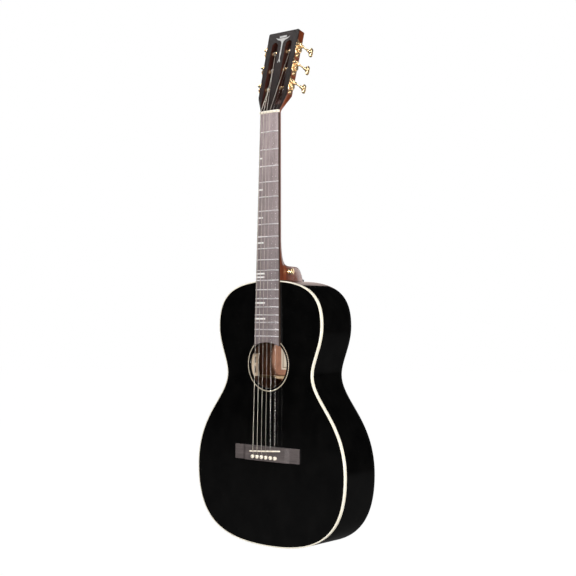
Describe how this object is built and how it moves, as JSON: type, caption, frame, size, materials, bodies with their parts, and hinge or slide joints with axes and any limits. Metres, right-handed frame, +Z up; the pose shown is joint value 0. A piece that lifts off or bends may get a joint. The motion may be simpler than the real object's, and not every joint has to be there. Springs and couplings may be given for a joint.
{
  "type": "steel-string acoustic guitar",
  "caption": "Small-bodied steel-string acoustic guitar with a glossy black body, ivory binding, slotted headstock and geared side tuners, held by its headstock.",
  "frame": {"origin": "where a hanger's yoke carries the headstock, on the centre line just above the nut", "axes": "+Z up the neck, +X towards the treble side, -Y out of the soundboard"},
  "size_m": [0.362, 0.1092, 0.9819],
  "materials": {
    "black_lacquer": "solid wood under high-gloss black lacquer",
    "ivory_binding": "polished ivory-coloured plastic",
    "black_binding": "polished black plastic",
    "lining_wood": "bare mahogany, sanded",
    "spruce": "bare spruce, sanded",
    "rosewood": "open-grained rosewood, oiled",
    "bone": "polished bone",
    "mahogany": "red-brown mahogany under gloss lacquer",
    "gold_hardware": "polished gold plate",
    "wound_string": "phosphor bronze winding",
    "plain_string": "plain steel wire"
  },
  "bodies": {
    "body_and_neck": {"soundboard": "black_lacquer", "back_plate": "black_lacquer", "side_bass": "black_lacquer", "side_treble": "black_lacquer", "soundhole_ring": "ivory_binding", "top_binding": "ivory_binding", "back_binding": "black_binding", "heel_cap": "black_binding", "top_lining": "lining_wood", "back_lining": "lining_wood", "neck_block": "lining_wood", "tail_block": "lining_wood", "bridge_plate": "lining_wood", "cross_brace": "spruce", "upper_brace": "spruce", "tone_bar_upper": "spruce", "tone_bar_lower": "spruce", "back_brace_1": "spruce", "back_brace_2": "spruce", "back_brace_3": "spruce", "back_brace_4": "spruce", "waist_brace": "spruce", "bridge": "rosewood", "head_veneer": "rosewood", "fretboard": "rosewood", "saddle": "bone", "nut": "bone", "bridge_pin_low_e": "bone", "bridge_pin_a": "bone", "bridge_pin_d": "bone", "bridge_pin_g": "bone", "bridge_pin_b": "bone", "bridge_pin_high_e": "bone", "neck": "mahogany", "end_pin": "gold_hardware", "heel_button": "gold_hardware", "tuner_plate_low_e": "gold_hardware", "tuner_plate_a": "gold_hardware", "tuner_plate_d": "gold_hardware", "tuner_plate_g": "gold_hardware", "tuner_plate_b": "gold_hardware", "tuner_plate_high_e": "gold_hardware", "string_low_e": "wound_string", "string_a": "wound_string", "string_d": "wound_string", "string_g": "wound_string", "string_b": "plain_string", "string_high_e": "plain_string"},
    "knob_low_e": {"tuner_knob_low_e": "gold_hardware"},
    "post_low_e": {"tuner_post_low_e": "gold_hardware"},
    "knob_a": {"tuner_knob_a": "gold_hardware"},
    "post_a": {"tuner_post_a": "gold_hardware"},
    "knob_d": {"tuner_knob_d": "gold_hardware"},
    "post_d": {"tuner_post_d": "gold_hardware"},
    "knob_g": {"tuner_knob_g": "gold_hardware"},
    "post_g": {"tuner_post_g": "gold_hardware"},
    "knob_b": {"tuner_knob_b": "gold_hardware"},
    "post_b": {"tuner_post_b": "gold_hardware"},
    "knob_high_e": {"tuner_knob_high_e": "gold_hardware"},
    "post_high_e": {"tuner_post_high_e": "gold_hardware"}
  },
  "joints": [
    {"name": "turn_knob_low_e", "type": "hinge", "parent": "body_and_neck", "child": "knob_low_e", "pos_m": [-0.04011, 0.01187, 0.03561], "axis": [0, 0.967, -0.2546], "continuous": true},
    {"name": "turn_post_low_e", "type": "hinge", "parent": "body_and_neck", "child": "post_low_e", "pos_m": [-0.03535, 0.00968, 0.02728], "axis": [0.9998, 0.0047, 0.0179], "continuous": true},
    {"name": "turn_knob_a", "type": "hinge", "parent": "body_and_neck", "child": "knob_a", "pos_m": [-0.04082, 0.02161, 0.0726], "axis": [0, 0.967, -0.2546], "continuous": true},
    {"name": "turn_post_a", "type": "hinge", "parent": "body_and_neck", "child": "post_a", "pos_m": [-0.03606, 0.01942, 0.06427], "axis": [0.9998, 0.0047, 0.0179], "continuous": true},
    {"name": "turn_knob_d", "type": "hinge", "parent": "body_and_neck", "child": "knob_d", "pos_m": [-0.04151, 0.03107, 0.10853], "axis": [0, 0.967, -0.2546], "continuous": true},
    {"name": "turn_post_d", "type": "hinge", "parent": "body_and_neck", "child": "post_d", "pos_m": [-0.03674, 0.02887, 0.1002], "axis": [0.9998, 0.0047, 0.0179], "continuous": true},
    {"name": "turn_knob_g", "type": "hinge", "parent": "body_and_neck", "child": "knob_g", "pos_m": [0.04151, 0.03107, 0.10853], "axis": [0, 0.967, -0.2546], "continuous": true},
    {"name": "turn_post_g", "type": "hinge", "parent": "body_and_neck", "child": "post_g", "pos_m": [0.03674, 0.02887, 0.1002], "axis": [0.9998, -0.0047, -0.0179], "continuous": true},
    {"name": "turn_knob_b", "type": "hinge", "parent": "body_and_neck", "child": "knob_b", "pos_m": [0.04082, 0.02161, 0.0726], "axis": [0, 0.967, -0.2546], "continuous": true},
    {"name": "turn_post_b", "type": "hinge", "parent": "body_and_neck", "child": "post_b", "pos_m": [0.03606, 0.01942, 0.06427], "axis": [0.9998, -0.0047, -0.0179], "continuous": true},
    {"name": "turn_knob_high_e", "type": "hinge", "parent": "body_and_neck", "child": "knob_high_e", "pos_m": [0.04011, 0.01187, 0.03561], "axis": [0, 0.967, -0.2546], "continuous": true},
    {"name": "turn_post_high_e", "type": "hinge", "parent": "body_and_neck", "child": "post_high_e", "pos_m": [0.03535, 0.00968, 0.02728], "axis": [0.9998, -0.0047, -0.0179], "continuous": true}
  ],
  "couplings": [
    {"joint": "turn_post_low_e", "follows": "turn_knob_low_e", "ratio": 0.0625},
    {"joint": "turn_post_a", "follows": "turn_knob_a", "ratio": 0.0625},
    {"joint": "turn_post_d", "follows": "turn_knob_d", "ratio": 0.0625},
    {"joint": "turn_post_g", "follows": "turn_knob_g", "ratio": 0.0625},
    {"joint": "turn_post_b", "follows": "turn_knob_b", "ratio": 0.0625},
    {"joint": "turn_post_high_e", "follows": "turn_knob_high_e", "ratio": 0.0625}
  ]
}
